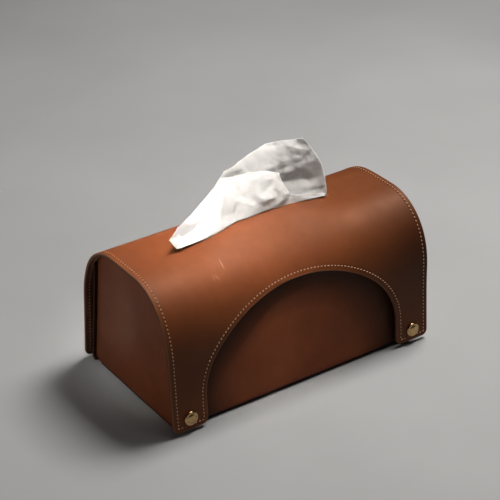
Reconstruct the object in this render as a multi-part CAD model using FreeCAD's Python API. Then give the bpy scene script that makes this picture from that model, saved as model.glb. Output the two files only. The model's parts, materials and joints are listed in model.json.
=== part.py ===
import FreeCAD, Part
import math
import os

# A leather tissue box cover. A lined strip of leather is wrapped over the front, top and back of a
# folded leather tray, and its four legs are fastened to the tray by snaps. The origin is on the floor
# under the middle of the cover: X runs along the slit, -Y is the front and Z is up. Millimetres.

# Leather wrap
COVER_LENGTH = 250.0
COVER_DEPTH = 137.4  # over the lower edges of the front and back
COVER_HEIGHT = 120.5  # floor to the outside of the top
EDGE_LIFT = 5.5  # floor to the lower edges
SIDE_LEAN = 4.2  # degrees, inwards
SHOULDER_RADIUS = 84.0
SHOULDER_ANGLE = 24.6  # degrees that the outside faces upwards where the shoulder meets the corner
CORNER_RADIUS = 35.3
LEATHER = 2.0
LINING = 0.8
GLUE_LINE = 0.05  # between layers that are glued together

# Living hinges, where the front and back swing up from the top
BEND_TURN = 9.4  # degrees round the corner, from its lower end to the bend
HINGE_GAP = 0.3

# Arches and legs
SNAP_INSET = 15.7  # from the wrap's end edges to the snaps
LEG_MARGIN = 16.0  # from the snaps to the arch
ARCH_BAND = 8.9  # height of the leather between the bend and the top of the arch
ARCH_STRAIGHT = 20.5  # upright part of the arch's edges, above the lower edge
LEG_CORNER_RADIUS = 5.0

# Slit
SLIT_LENGTH = 150.0
SLIT_WIDTH = 8.0

# Tray
WALL = 2.2
WALL_CLEARANCE = 2.2  # between the walls' upper edges and the wrap's lining
FOLD_RADIUS = 4.0  # outside of the folds along the base
LEAST_FOLD_RADIUS = 0.2
FELT = 1.5
FELT_INSET = 3.0
FELT_CORNER = 3.0

# End panels
PANEL = 2.2
PANEL_RECESS = 2.4  # from the tray's end edges
PANEL_TO_SNAP = 7.1  # from the panel's inner face to the snap's axis
FLANGE_PAST_SNAP = 12.8
FLANGE_DROP = 10.0  # from the walls' upper edges to the flanges'
REST_GAP = 0.3  # between the panels' top edges and the wrap's lining

# Base
BASE_LINING = 0.8
BASE_FIT = 0.5  # round the board and the base lining
BASE_CORNER = 2.0

# Snaps
CAP_RADIUS = 6.2
CAP_HEIGHT = 2.6
CAP_RIM = 0.6
CAP_MARGIN = 1.6  # from the cap to the lower edge of the leg
SHANK_RADIUS = 1.8
HOLE_FIT = 0.1  # round a shank in its hole
STUD_WALL = 0.4  # round the post's shank, at the stud's neck
STUD_LIP = 0.4  # by which the stud's head stands out from its neck
STUD_FLANGE = 0.6
STUD_FLANGE_LIP = 2.1
STUD_CLEARANCE = 0.4  # round the stud's head in the socket
STUD_TIP_GAP = 0.8  # between the stud's tip and the socket's plate
SOCKET_WALL = 1.9
SOCKET_HEIGHT = 2.2
SOCKET_PLATE = 0.5
SOCKET_CHAMFER = 0.25
SNAP_CLEARANCE = 0.5  # between the socket and the stud's flange
POST_RADIUS = 4.4
POST_HEAD = 0.7

# Tissues
HEADROOM = 30.9  # between the stack and the wrap's lining
STACK_END_GAP = 16.3  # between the stack and the end panels
STACK_SIDE_GAP = 1.0  # between the top of the stack and the end panels' flanges
STACK_CORNER = 6.0
STACK_EDGE_RADIUS = 3.0
TISSUE = 1.6
TISSUE_BACK_GAP = 1.0  # between the pulled tissue and the back edge of the slit
TAIL_GAP = 0.3  # between the pulled tissue's lower edge and the stack
TISSUE_STAND = 3.0  # straight stretch above the top before the tissue curls
# Pulled tissue, from its left edge to its right: how far along the slit (0 to 1), the sideways flare of the
# upper edge, its height above the top, how far it leans to the front, and how far it bellies to the front.
TISSUE_FOLDS = (
    (0.00, 0.0, 14.0, -3.0, 1.0),
    (0.14, -4.0, 29.0, -4.0, 2.0),
    (0.34, -4.0, 52.0, -2.0, 5.0),
    (0.52, -3.0, 62.0, 5.0, 9.0),
    (0.70, -1.0, 64.0, 12.0, 2.0),
    (0.87, -4.0, 56.0, 10.0, -5.0),
    (1.00, 0.0, 22.0, 3.0, -2.0),
)

CUT_MARGIN = 5.0  # by which a cutting shape runs past what it cuts


def vec(x, y, z):
    return FreeCAD.Vector(x, y, z)


# Outline of the wrap's front half, seen from the end

COVER_THICKNESS = LEATHER + GLUE_LINE + LINING
LEAN = math.radians(SIDE_LEAN)
SHOULDER = math.radians(SHOULDER_ANGLE)
HINGE = SHOULDER + math.radians(BEND_TURN)
UPRIGHT = math.radians(90.0)

CORNER_Z = COVER_HEIGHT - CORNER_RADIUS
SHOULDER_Z = CORNER_Z - (SHOULDER_RADIUS - CORNER_RADIUS) * math.sin(SHOULDER)
SIDE_TOP = SHOULDER_Z + SHOULDER_RADIUS * math.sin(LEAN)
SIDE_REACH = (
    SHOULDER_RADIUS * math.cos(LEAN)
    - (SHOULDER_RADIUS - CORNER_RADIUS) * math.cos(SHOULDER)
    + (SIDE_TOP - EDGE_LIFT) * math.tan(LEAN)
)
CORNER_Y = SIDE_REACH - COVER_DEPTH / 2.0
SHOULDER_Y = CORNER_Y + (SHOULDER_RADIUS - CORNER_RADIUS) * math.cos(SHOULDER)
CORNER_CENTRE = vec(0, CORNER_Y, CORNER_Z)
SHOULDER_CENTRE = vec(0, SHOULDER_Y, SHOULDER_Z)


def outward(angle):
    """Direction out of the front half where the outside faces upwards by this angle."""
    return vec(0, -math.cos(angle), math.sin(angle))


BEND = CORNER_CENTRE + outward(HINGE) * CORNER_RADIUS

# Snaps: their radii, and where each axis meets the leg's outside and the tray wall's outside

STUD_NECK_RADIUS = SHANK_RADIUS + HOLE_FIT + STUD_WALL
STUD_HEAD_RADIUS = STUD_NECK_RADIUS + STUD_LIP
STUD_FLANGE_RADIUS = STUD_NECK_RADIUS + STUD_FLANGE_LIP
SOCKET_BORE = STUD_HEAD_RADIUS + STUD_CLEARANCE
SOCKET_RADIUS = SOCKET_BORE + SOCKET_WALL
SOCKET_MOUTH = SOCKET_HEIGHT - SOCKET_PLATE
STUD_HEAD = SNAP_CLEARANCE + SOCKET_MOUTH - STUD_TIP_GAP  # flange to the tip

SNAP_X = COVER_LENGTH / 2.0 - SNAP_INSET
SNAP_RISE = CAP_RADIUS + CAP_MARGIN
LEG_OUT = outward(LEAN)
LEG_FOOT = vec(0, -COVER_DEPTH / 2.0, EDGE_LIFT)
CAP_PLACE = LEG_FOOT + vec(0, math.sin(LEAN), math.cos(LEAN)) * SNAP_RISE
STUD_PLACE = CAP_PLACE - LEG_OUT * (COVER_THICKNESS + SOCKET_HEIGHT + SNAP_CLEARANCE + STUD_FLANGE)

# Tray: the wall's outside runs from the foot of the studs to under the lower end of the wrap's corner

WALL_TOP = SHOULDER_CENTRE + outward(SHOULDER) * (SHOULDER_RADIUS - COVER_THICKNESS - WALL_CLEARANCE)
WALL_ANGLE = math.atan2(WALL_TOP.y - STUD_PLACE.y, WALL_TOP.z - STUD_PLACE.z)
WALL_OUT = outward(WALL_ANGLE)
TRAY_CORNER_Y = STUD_PLACE.y - (STUD_PLACE.z - FELT) * math.tan(WALL_ANGLE)
FOLD_CENTRE = vec(
    0,
    TRAY_CORNER_Y + FOLD_RADIUS * (1.0 + math.sin(WALL_ANGLE)) / math.cos(WALL_ANGLE),
    FELT + FOLD_RADIUS,
)
BASE_TOP = FELT + WALL
BASE_HALF = -FOLD_CENTRE.y  # half the depth of the flat part of the tray's base

# End panels, and the sheets on the base between them

PANEL_INNER = SNAP_X + PANEL_TO_SNAP
PANEL_FACE = PANEL_INNER + PANEL
TRAY_LENGTH = 2.0 * (PANEL_FACE + PANEL_RECESS)
PANEL_INSET = WALL + GLUE_LINE
FLANGE_INSET = PANEL_INSET + PANEL
FLANGE_REACH = SNAP_X - FLANGE_PAST_SNAP
FLANGE_TOP = WALL_TOP.z - FLANGE_DROP
LINING_HALF = BASE_HALF - PANEL - BASE_FIT
BOARD_TOP = BASE_TOP + GLUE_LINE + PANEL

# Tissues

STACK_BASE = BOARD_TOP + BASE_LINING
STACK_TOP = COVER_HEIGHT - COVER_THICKNESS - HEADROOM
STACK_HALF_LENGTH = PANEL_INNER - STACK_END_GAP
FLANGE_Y = WALL_TOP.y + FLANGE_INSET / math.cos(WALL_ANGLE)
STACK_HALF_DEPTH = (WALL_TOP.z - STACK_TOP) * math.tan(WALL_ANGLE) - FLANGE_Y - STACK_SIDE_GAP
TISSUE_Y = SLIT_WIDTH / 2.0 - TISSUE_BACK_GAP - TISSUE / 2.0
TISSUE_REACH = (SLIT_LENGTH - SLIT_WIDTH) / 2.0  # the tissue fills the straight part of the slit


def arc(centre, radius, start, end):
    """Arc of the front half's outline between two angles."""
    middle = (start + end) / 2.0
    points = [centre + outward(a) * radius for a in (start, middle, end)]
    return Part.Arc(*points).toShape()


def line(start, end):
    return Part.LineSegment(start, end).toShape()


def side_edges(inset):
    """Straight side and shoulder of the front half, from the floor up to where the corner starts."""
    radius = SHOULDER_RADIUS - inset
    top = SHOULDER_CENTRE + outward(LEAN) * radius
    foot = top - vec(0, math.sin(LEAN), math.cos(LEAN)) * (top.z / math.cos(LEAN))
    return [line(foot, top), arc(SHOULDER_CENTRE, radius, LEAN, SHOULDER)]


def prism(edges, length, x=0.0):
    """Closed outline in the YZ plane, pushed along X and centred on x."""
    face = Part.Face(Part.Wire(Part.__sortEdges__(edges)))
    face.translate(vec(x - length / 2.0, 0, 0))
    return face.extrude(vec(length, 0, 0))


def band(outer, inner):
    """Closed outline of a layer between two chains of edges that run the same way."""
    first = line(outer[0].Vertexes[0].Point, inner[0].Vertexes[0].Point)
    last = line(outer[-1].Vertexes[-1].Point, inner[-1].Vertexes[-1].Point)
    return outer + inner + [first, last]


def back(shape):
    """The same piece on the back of the cover."""
    return shape.mirror(vec(0, 0, 0), vec(0, 1, 0))


def right(shape):
    """The same piece at the right end of the cover."""
    return shape.mirror(vec(0, 0, 0), vec(1, 0, 0))


# Wrap


def half_ellipse(reach, rise, z):
    """Upper half of an upright ellipse, seen from the front."""
    if rise > reach:
        curve = Part.Ellipse(vec(0, 0, z), rise, reach)
        curve.XAxis = vec(0, 0, 1)
        start = -math.pi / 2.0
    else:
        curve = Part.Ellipse(vec(0, 0, z), reach, rise)
        curve.XAxis = vec(1, 0, 0)
        start = 0.0
    curve.Axis = vec(0, -1, 0)
    return Part.ArcOfEllipse(curve, start, start + math.pi).toShape()


def side_outline():
    """Front view of one side of the wrap: two legs with rounded feet, and the arch between them."""
    half = COVER_LENGTH / 2.0
    arch = SNAP_X - LEG_MARGIN
    low = EDGE_LIFT
    spring = low + ARCH_STRAIGHT
    rise = BEND.z - ARCH_BAND - spring
    r = LEG_CORNER_RADIUS
    corner = r * (1.0 - math.sqrt(0.5))
    left_leg = [
        line(vec(-half, 0, COVER_HEIGHT), vec(-half, 0, low + r)),
        Part.Arc(
            vec(-half, 0, low + r), vec(-half + corner, 0, low + corner), vec(-half + r, 0, low)
        ).toShape(),
        line(vec(-half + r, 0, low), vec(-arch - r, 0, low)),
        Part.Arc(
            vec(-arch - r, 0, low), vec(-arch - corner, 0, low + corner), vec(-arch, 0, low + r)
        ).toShape(),
        line(vec(-arch, 0, low + r), vec(-arch, 0, spring)),
    ]
    right_leg = [right(edge) for edge in left_leg]
    over_arch = half_ellipse(arch, rise, spring)
    top = line(vec(-half, 0, COVER_HEIGHT), vec(half, 0, COVER_HEIGHT))
    face = Part.Face(Part.Wire(Part.__sortEdges__(left_leg + right_leg + [over_arch, top])))
    face.translate(vec(0, -COVER_DEPTH, 0))
    return face.extrude(vec(0, COVER_DEPTH, 0))


def flap_layer(outer, inner):
    """One layer of the front of the wrap, from the legs' feet up to the bend."""
    chains = [
        side_edges(inset) + [arc(CORNER_CENTRE, CORNER_RADIUS - inset, SHOULDER, HINGE)]
        for inset in (outer, inner)
    ]
    layer = prism(band(*chains), COVER_LENGTH).common(side_outline())
    for x in (-SNAP_X, SNAP_X):
        layer = layer.cut(cap_hole(x))
    return layer


def crown_layer(outer, inner):
    """One layer of the top of the wrap, between the two bends, with the slit."""
    start = HINGE + HINGE_GAP / CORNER_RADIUS
    chains = []
    for inset in (outer, inner):
        front = arc(CORNER_CENTRE, CORNER_RADIUS - inset, start, UPRIGHT)
        rear = back(front)
        flat = line(front.Vertexes[-1].Point, rear.Vertexes[-1].Point)
        chains.append([front, flat, rear])
    outer_chain, inner_chain = chains
    first = line(outer_chain[0].Vertexes[0].Point, inner_chain[0].Vertexes[0].Point)
    layer = prism(outer_chain + inner_chain + [first, back(first)], COVER_LENGTH)
    return layer.cut(slit())


def slit():
    """Round-ended opening through the top."""
    low = COVER_HEIGHT - COVER_THICKNESS - CUT_MARGIN
    depth = COVER_THICKNESS + 2.0 * CUT_MARGIN
    radius = SLIT_WIDTH / 2.0
    straight = SLIT_LENGTH - SLIT_WIDTH
    opening = Part.makeBox(straight, SLIT_WIDTH, depth, vec(-straight / 2.0, -radius, low))
    for x in (-straight / 2.0, straight / 2.0):
        opening = opening.fuse(Part.makeCylinder(radius, depth, vec(x, 0, low)))
    return opening.removeSplitter()


# Holes


def at_snap(shape, x, place, direction):
    """A turned piece, moved from the Z axis to a snap's axis."""
    moved = shape.copy()
    rotation = FreeCAD.Rotation(vec(0, 0, 1), direction)
    moved.Placement = FreeCAD.Placement(vec(x, place.y, place.z), rotation)
    return moved


def shank_hole(depth):
    """Hole for a shank, along Z, from the outside down through layers of this depth."""
    low = vec(0, 0, -depth - CUT_MARGIN)
    return Part.makeCylinder(SHANK_RADIUS + HOLE_FIT, depth + 2.0 * CUT_MARGIN, low)


def cap_hole(x):
    """Hole for a cap's shank through the leg."""
    return at_snap(shank_hole(COVER_THICKNESS), x, CAP_PLACE, LEG_OUT)


def post_hole(x):
    """Hole for a post's shank through the tray wall and the end panel's flange."""
    return at_snap(shank_hole(FLANGE_INSET), x, STUD_PLACE, WALL_OUT)


def tray_edges(inset, top):
    """U outline of the tray, moved inwards by inset and open at the top."""
    radius = max(FOLD_RADIUS - inset, LEAST_FOLD_RADIUS)
    centre = FOLD_CENTRE
    if inset > FOLD_RADIUS - radius:
        shift = inset - (FOLD_RADIUS - radius)
        centre = centre + vec(0, shift * (1.0 + math.sin(WALL_ANGLE)) / math.cos(WALL_ANGLE), shift)
    wall_foot = centre + WALL_OUT * radius
    base_end = centre + vec(0, 0, -radius)
    halfway = (WALL_OUT + vec(0, 0, -1)).normalize()
    fold = Part.Arc(wall_foot, centre + halfway * radius, base_end).toShape()
    wall_top = vec(0, wall_foot.y + (top - wall_foot.z) * math.tan(WALL_ANGLE), top)
    front = [line(wall_top, wall_foot), fold]
    return front, line(base_end, vec(0, -base_end.y, base_end.z)), wall_top


def tray_band(outer, inner, top, length, x=0.0):
    """U-shaped layer between two insets of the tray's outline."""
    edges = []
    tops = []
    for inset in (outer, inner):
        front, base, wall_top = tray_edges(inset, top)
        edges += front + [back(edge) for edge in front] + [base]
        tops.append(wall_top)
    rim = line(*tops)
    return prism(edges + [rim, back(rim)], length, x)


def tray_core(inset, top, length, x):
    """Solid that fills the tray's outline, moved inwards by inset."""
    front, base, wall_top = tray_edges(inset, top)
    lid = line(wall_top, vec(0, -wall_top.y, top))
    return prism(front + [back(edge) for edge in front] + [base, lid], length, x)


def under_wrap(inset, length, x):
    """Solid that fills the wrap, moved inwards by inset."""
    front = side_edges(inset)
    front.append(arc(CORNER_CENTRE, CORNER_RADIUS - inset, SHOULDER, UPRIGHT))
    rear = [back(edge) for edge in front]
    top = line(front[-1].Vertexes[-1].Point, rear[-1].Vertexes[-1].Point)
    floor = line(front[0].Vertexes[0].Point, rear[0].Vertexes[0].Point)
    return prism(front + rear + [top, floor], length, x)


def tray_shell():
    """Front wall, base and back wall, folded from one piece of leather."""
    shell = tray_band(0.0, WALL, WALL_TOP.z, TRAY_LENGTH)
    for x in (-SNAP_X, SNAP_X):
        shell = shell.cut(post_hole(x)).cut(back(post_hole(x)))
    return shell


def end_panel():
    """Left end panel, with a flange folded in along both walls and the base."""
    plate_x = -(PANEL_FACE + PANEL_INNER) / 2.0
    plate = tray_core(PANEL_INSET, COVER_HEIGHT, PANEL, plate_x)
    plate = plate.common(under_wrap(COVER_THICKNESS + REST_GAP, PANEL + CUT_MARGIN, plate_x))
    flange_x = -(PANEL_INNER + FLANGE_REACH) / 2.0
    flange = tray_band(PANEL_INSET, FLANGE_INSET, FLANGE_TOP, PANEL_INNER - FLANGE_REACH, flange_x)
    panel = plate.fuse(flange).removeSplitter()
    return panel.cut(post_hole(-SNAP_X)).cut(back(post_hole(-SNAP_X)))


def rounded_sheet(length, depth, thickness, z, radius):
    """Flat sheet with rounded corners, lying on z."""
    sheet = Part.makeBox(length, depth, thickness, vec(-length / 2.0, -depth / 2.0, z))
    upright = [edge for edge in sheet.Edges if edge.BoundBox.ZLength > thickness / 2.0]
    return sheet.makeFillet(radius, upright)


def base_felt():
    length = TRAY_LENGTH - 2.0 * FELT_INSET
    return rounded_sheet(length, 2.0 * (BASE_HALF - FELT_INSET), FELT, 0.0, FELT_CORNER)


def base_board():
    length = 2.0 * (FLANGE_REACH - BASE_FIT)
    return rounded_sheet(length, 2.0 * LINING_HALF, PANEL + GLUE_LINE, BASE_TOP, BASE_CORNER)


def base_lining():
    length = 2.0 * (PANEL_INNER - BASE_FIT)
    return rounded_sheet(length, 2.0 * LINING_HALF, BASE_LINING, BOARD_TOP, BASE_CORNER)


# Snaps, turned about Z with the outside of the cover upwards


def turned(points):
    """Solid of revolution about Z from points of (radius, height)."""
    corners = [vec(r, 0, z) for r, z in points]
    wire = Part.makePolygon(corners + corners[:1])
    return Part.Face(wire).revolve(vec(0, 0, 0), vec(0, 0, 1), 360.0)


def snap_cap():
    """Domed cap outside the leg, with a shank through to the socket."""
    reach = COVER_THICKNESS + SOCKET_PLATE
    bulge = vec(CAP_RADIUS * math.sqrt(0.5), 0, CAP_RIM + (CAP_HEIGHT - CAP_RIM) * math.sqrt(0.5))
    dome = Part.Arc(vec(0, 0, CAP_HEIGHT), bulge, vec(CAP_RADIUS, 0, CAP_RIM)).toShape()
    corners = [
        vec(CAP_RADIUS, 0, CAP_RIM),
        vec(CAP_RADIUS, 0, 0),
        vec(SHANK_RADIUS, 0, 0),
        vec(SHANK_RADIUS, 0, -reach),
        vec(0, 0, -reach),
        vec(0, 0, CAP_HEIGHT),
    ]
    sides = [line(a, b) for a, b in zip(corners, corners[1:])]
    face = Part.Face(Part.Wire(Part.__sortEdges__([dome] + sides)))
    return face.revolve(vec(0, 0, 0), vec(0, 0, 1), 360.0)


def snap_socket():
    """Ring inside the leg that grips the stud, with a plate that the cap's shank holds."""
    top = -COVER_THICKNESS
    low = top - SOCKET_HEIGHT
    hole = SHANK_RADIUS + HOLE_FIT
    return turned(
        [
            (hole, top),
            (SOCKET_RADIUS, top),
            (SOCKET_RADIUS, low + SOCKET_CHAMFER),
            (SOCKET_RADIUS - SOCKET_CHAMFER, low),
            (SOCKET_BORE, low),
            (SOCKET_BORE, low + SOCKET_MOUTH),
            (hole, low + SOCKET_MOUTH),
        ]
    )


def snap_stud():
    """Stud on the tray wall: a flange, a neck and a rounded head, with a hole for the post's shank."""
    hole = SHANK_RADIUS + HOLE_FIT
    shoulder = STUD_FLANGE + STUD_HEAD / 2.0
    tip = STUD_FLANGE + STUD_HEAD
    return turned(
        [
            (hole, 0.0),
            (STUD_FLANGE_RADIUS, 0.0),
            (STUD_FLANGE_RADIUS, STUD_FLANGE),
            (STUD_NECK_RADIUS, STUD_FLANGE),
            (STUD_HEAD_RADIUS, shoulder),
            (STUD_NECK_RADIUS, tip),
            (0.0, tip),
            (0.0, shoulder),
            (hole, shoulder),
        ]
    )


def snap_post():
    """Post inside the tray, whose shank passes through the flange and wall into the stud."""
    head_face = -FLANGE_INSET
    reach = STUD_FLANGE + STUD_HEAD / 2.0
    return turned(
        [
            (0.0, head_face - POST_HEAD),
            (POST_RADIUS - POST_HEAD, head_face - POST_HEAD),
            (POST_RADIUS, head_face - POST_HEAD / 2.0),
            (POST_RADIUS, head_face),
            (SHANK_RADIUS, head_face),
            (SHANK_RADIUS, reach),
            (0.0, reach),
        ]
    )


# Tissues


def tissue_stack():
    height = STACK_TOP - STACK_BASE
    stack = rounded_sheet(2.0 * STACK_HALF_LENGTH, 2.0 * STACK_HALF_DEPTH, height, STACK_BASE, STACK_CORNER)
    upper = [edge for edge in stack.Edges if edge.BoundBox.ZMin > STACK_BASE + height / 2.0]
    return stack.makeFillet(STACK_EDGE_RADIUS, upper)


def tissue_section(along, flare, height, lean, belly):
    """Closed outline of the pulled tissue across one of its folds: a straight tail and a curled top."""
    x = TISSUE_REACH * (2.0 * along - 1.0)
    tail = STACK_TOP + TAIL_GAP
    bend = COVER_HEIGHT + TISSUE_STAND
    top = COVER_HEIGHT + height
    middle = (bend + top) / 2.0
    points = []
    for side in (-TISSUE / 2.0, TISSUE / 2.0):
        y = TISSUE_Y + side
        points.append(
            (
                vec(x, y, tail),
                vec(x, y, bend),
                vec(x + flare / 2.0, y - lean / 2.0 - belly, middle),
                vec(x + flare, y - lean, top),
            )
        )
    front, rear = points
    edges = [
        line(front[0], front[1]),
        Part.Arc(*front[1:]).toShape(),
        line(front[3], rear[3]),
        Part.Arc(rear[3], rear[2], rear[1]).toShape(),
        line(rear[1], rear[0]),
        line(rear[0], front[0]),
    ]
    return Part.Wire(edges)


def pulled_tissue():
    """The tissue that stands out of the slit, lofted across its main folds."""
    return Part.makeLoft([tissue_section(*fold) for fold in TISSUE_FOLDS], True, False)


def pieces():
    """Every piece of the cover by name."""
    lining_inset = LEATHER + GLUE_LINE
    nodes = {
        "base_felt": base_felt(),
        "tray_shell": tray_shell(),
        "base_board": base_board(),
        "base_lining": base_lining(),
        "end_panel_left": end_panel(),
        "end_panel_right": right(end_panel()),
        "cover_crown": crown_layer(0.0, LEATHER),
        "crown_lining": crown_layer(lining_inset, COVER_THICKNESS),
        "front_flap": flap_layer(0.0, LEATHER),
        "front_flap_lining": flap_layer(lining_inset, COVER_THICKNESS),
        "tissue_stack": tissue_stack(),
        "pulled_tissue": pulled_tissue(),
    }
    nodes["back_flap"] = back(nodes["front_flap"])
    nodes["back_flap_lining"] = back(nodes["front_flap_lining"])
    hardware = {
        "snap_cap": at_snap(snap_cap(), -SNAP_X, CAP_PLACE, LEG_OUT),
        "snap_socket": at_snap(snap_socket(), -SNAP_X, CAP_PLACE, LEG_OUT),
        "snap_stud": at_snap(snap_stud(), -SNAP_X, STUD_PLACE, WALL_OUT),
        "snap_post": at_snap(snap_post(), -SNAP_X, STUD_PLACE, WALL_OUT),
    }
    for name, shape in hardware.items():
        nodes[name + "_front_left"] = shape
        nodes[name + "_front_right"] = right(shape)
        nodes[name + "_back_left"] = back(shape)
        nodes[name + "_back_right"] = back(right(shape))
    return nodes


def main():
    os.makedirs("parts", exist_ok=True)
    print("bend of the front at", BEND)
    for name, shape in pieces().items():
        (solid,) = shape.Solids
        print(name, "valid", solid.isValid(), "volume", round(solid.Volume, 2))
        solid.exportStep(os.path.join("parts", name + ".step"))


main()
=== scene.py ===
import json
import math

import bmesh
import bpy
from bpy.props import FloatProperty, FloatVectorProperty, PointerProperty
from mathutils import Matrix, Vector, noise


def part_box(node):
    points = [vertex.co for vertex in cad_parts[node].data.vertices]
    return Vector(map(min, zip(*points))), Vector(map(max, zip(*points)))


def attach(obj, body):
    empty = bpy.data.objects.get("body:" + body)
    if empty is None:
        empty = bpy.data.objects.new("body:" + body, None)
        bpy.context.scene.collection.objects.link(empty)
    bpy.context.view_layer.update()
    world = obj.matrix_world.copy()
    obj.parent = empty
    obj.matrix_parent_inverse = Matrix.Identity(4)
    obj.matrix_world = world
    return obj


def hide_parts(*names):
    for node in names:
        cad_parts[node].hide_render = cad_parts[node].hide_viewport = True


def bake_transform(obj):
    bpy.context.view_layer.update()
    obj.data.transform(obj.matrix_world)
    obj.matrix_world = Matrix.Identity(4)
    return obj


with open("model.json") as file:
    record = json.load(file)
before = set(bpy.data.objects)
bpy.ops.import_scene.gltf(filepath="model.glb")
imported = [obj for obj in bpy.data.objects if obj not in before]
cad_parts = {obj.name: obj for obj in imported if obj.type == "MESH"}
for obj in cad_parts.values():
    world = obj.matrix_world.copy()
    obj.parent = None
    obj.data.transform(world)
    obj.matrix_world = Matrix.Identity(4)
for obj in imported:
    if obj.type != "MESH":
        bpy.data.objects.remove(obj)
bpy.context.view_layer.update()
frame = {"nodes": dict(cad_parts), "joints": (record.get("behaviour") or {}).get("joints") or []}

bl_info = {
    "name": "Leather tissue box cover",
    "version": (1, 0, 0),
    "blender": (4, 5, 0),
    "location": "3D View > Sidebar > Tissue cover",
    "description": "Builds a stitched leather tissue box cover with snaps, a tray and tissues",
    "category": "Object",
}

MM = 0.001
UPRIGHT = math.radians(90)
ENDS = {-1: "left", 1: "right"}


def srgb(code):
    """Linear colour, with alpha, of an sRGB hex code."""
    parts = [int(code[i : i + 2], 16) / 255 for i in (1, 3, 5)]
    return [c / 12.92 if c <= 0.04045 else ((c + 0.055) / 1.055) ** 2.4 for c in parts] + [1.0]


def length(name, description, millimetres):
    """A length that a user can change."""
    return FloatProperty(name=name, description=description, default=millimetres * MM, unit="LENGTH")


def angle(name, description, degrees):
    """An angle that a user can change."""
    return FloatProperty(
        name=name, description=description, default=math.radians(degrees), subtype="ANGLE"
    )


def colour(name, description, code):
    """A colour that a user can change."""
    return FloatVectorProperty(
        name=name, description=description, default=srgb(code), size=4, subtype="COLOR", min=0, max=1
    )


class WrapSizes(bpy.types.PropertyGroup):
    """Shape of the leather wrap, which the frame's own boxes complete."""

    corner_radius: length("Corner radius", "Outside, between the top and the shoulder", 45.0)
    shoulder_radius: length("Shoulder radius", "Outside, between the corner and the side", 84.0)
    shoulder_angle: angle("Shoulder angle", "How far the outside faces up where the shoulder starts", 24.6)
    side_lean: angle("Side lean", "How far the sides lean in", 4.2)
    leather: length("Leather", "Thickness of the outer layer", 2.0)
    lining: length("Lining", "Thickness of the lining", 0.8)
    glue_line: length("Glue line", "Gap between the two layers", 0.05)
    leg_width: length("Leg width", "From an end edge to the arch", 31.7)
    arch_top: length("Arch top", "Floor to the highest point of the arch", 96.04)
    arch_straight: length("Arch straight", "Upright part of the arch's edges", 22.5)
    foot_drop: length("Foot drop", "How far the leather reaches below the frame's legs", 2.0)
    foot_radius: length("Foot radius", "Rounded corners of the legs", 5.0)
    slit_length: length("Slit length", "Opening for the tissue", 150.0)
    slit_width: length("Slit width", "Opening for the tissue", 8.0)
    front_lip: length("Front lip", "How far the front lip of the slit is pushed up", 10.0)
    back_lip: length("Back lip", "How far the back lip of the slit is pushed up", 3.0)
    lip_reach: length("Lip reach", "How far the push spreads from the slit", 21.0)
    lip_middle: length("Lip middle", "Where along the slit the lips are pushed up most", 4.0)
    end_swell: length("End swell", "How far the right end stands fuller than the left", 2.6)
    swell_fade: length("Swell fade", "How far the fuller end takes to fade out", 28.0)
    edge_round: length("Edge rounding", "Rounding of the burnished cut edges", 0.55)
    snap_inset: length("Snap inset", "From an end edge to a snap", 15.7)
    snap_rise: length("Snap rise", "From a leg's lower edge to a snap", 9.8)


class StitchSizes(bpy.types.PropertyGroup):
    """Border stitching along the cut edges."""

    inset: length("Inset", "From the cut edge to the stitches", 4.0)
    pitch: length("Pitch", "From one stitch to the next", 3.2)
    stitch: length("Stitch", "Length of one stitch", 2.0)
    thread: length("Thread", "Thickness of the thread", 1.0)
    groove: length("Groove", "Depth of the groove that the stitches lie in", 0.35)
    slant: angle("Slant", "How far each stitch turns from the seam", 9.0)


class TraySizes(bpy.types.PropertyGroup):
    """Shape of the inner tray, which the frame's own boxes complete."""

    wall: length("Wall", "Thickness of the tray's leather", 2.2)
    panel: length("Panel", "Thickness of the end panels", 2.2)
    fold_radius: length("Fold radius", "Outside, between the base and a wall", 4.0)
    wall_lean: angle("Wall lean", "How far the walls lean in", 6.78)
    rest_gap: length("Rest gap", "Between the wrap's lining and the end panels", 0.3)
    flange_top: length("Flange top", "Floor to the top of the end panels' folds", 87.8)
    edge_round: length("Edge rounding", "Rounding of the cut edges", 0.5)


class CoverColours(bpy.types.PropertyGroup):
    """Main colours of the materials."""

    leather: colour("Leather", "Cognac cowhide of the wrap", "#774022")
    leather_dark: colour("Leather, dark", "Deeper tone of the wrap", "#68361d")
    leather_worn: colour("Leather, worn", "Rubbed and scratched cowhide", "#c49a78")
    tray: colour("Tray", "Cowhide of the tray", "#86472a")
    tray_dark: colour("Tray, dark", "Deeper tone of the tray", "#733b22")
    # The end panels' colours are painted light: paler than the tray's, for the light that falls on the end
    # faces.
    panel: colour("Panel", "Cowhide of the end panels", "#935031")
    panel_dark: colour("Panel, dark", "Deeper tone of the end panels", "#7f4328")
    lining: colour("Lining", "Split leather", "#6b3d25")
    thread: colour("Thread", "Waxed linen", "#cb9b76")
    brass: colour("Brass", "Aged brass", "#b8976a")
    tissue: colour("Tissue", "Bleached tissue paper", "#f3f3f2")
    felt: colour("Felt", "Black felt", "#15130f")
    board: colour("Board", "Grey board", "#8a857b")
    suede: colour("Suede", "Brown suede", "#6a4630")
    floor: colour("Floor", "Pale studio floor", "#a1a3a5")


# Materials


# A Mix node's two colour inputs and its colour output, and its settings to blend or multiply two colours.
FIRST, SECOND, MIXED = 6, 7, 2
BLENDED = {"data_type": "RGBA"}
MULTIPLIED = {"data_type": "RGBA", "blend_type": "MULTIPLY"}
# Where most of a noise pattern's values lie, and a narrower band for slow drifts.
MOST = {"From Min": 0.3, "From Max": 0.7}
MIDDLE = {"From Min": 0.35, "From Max": 0.65}


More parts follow.
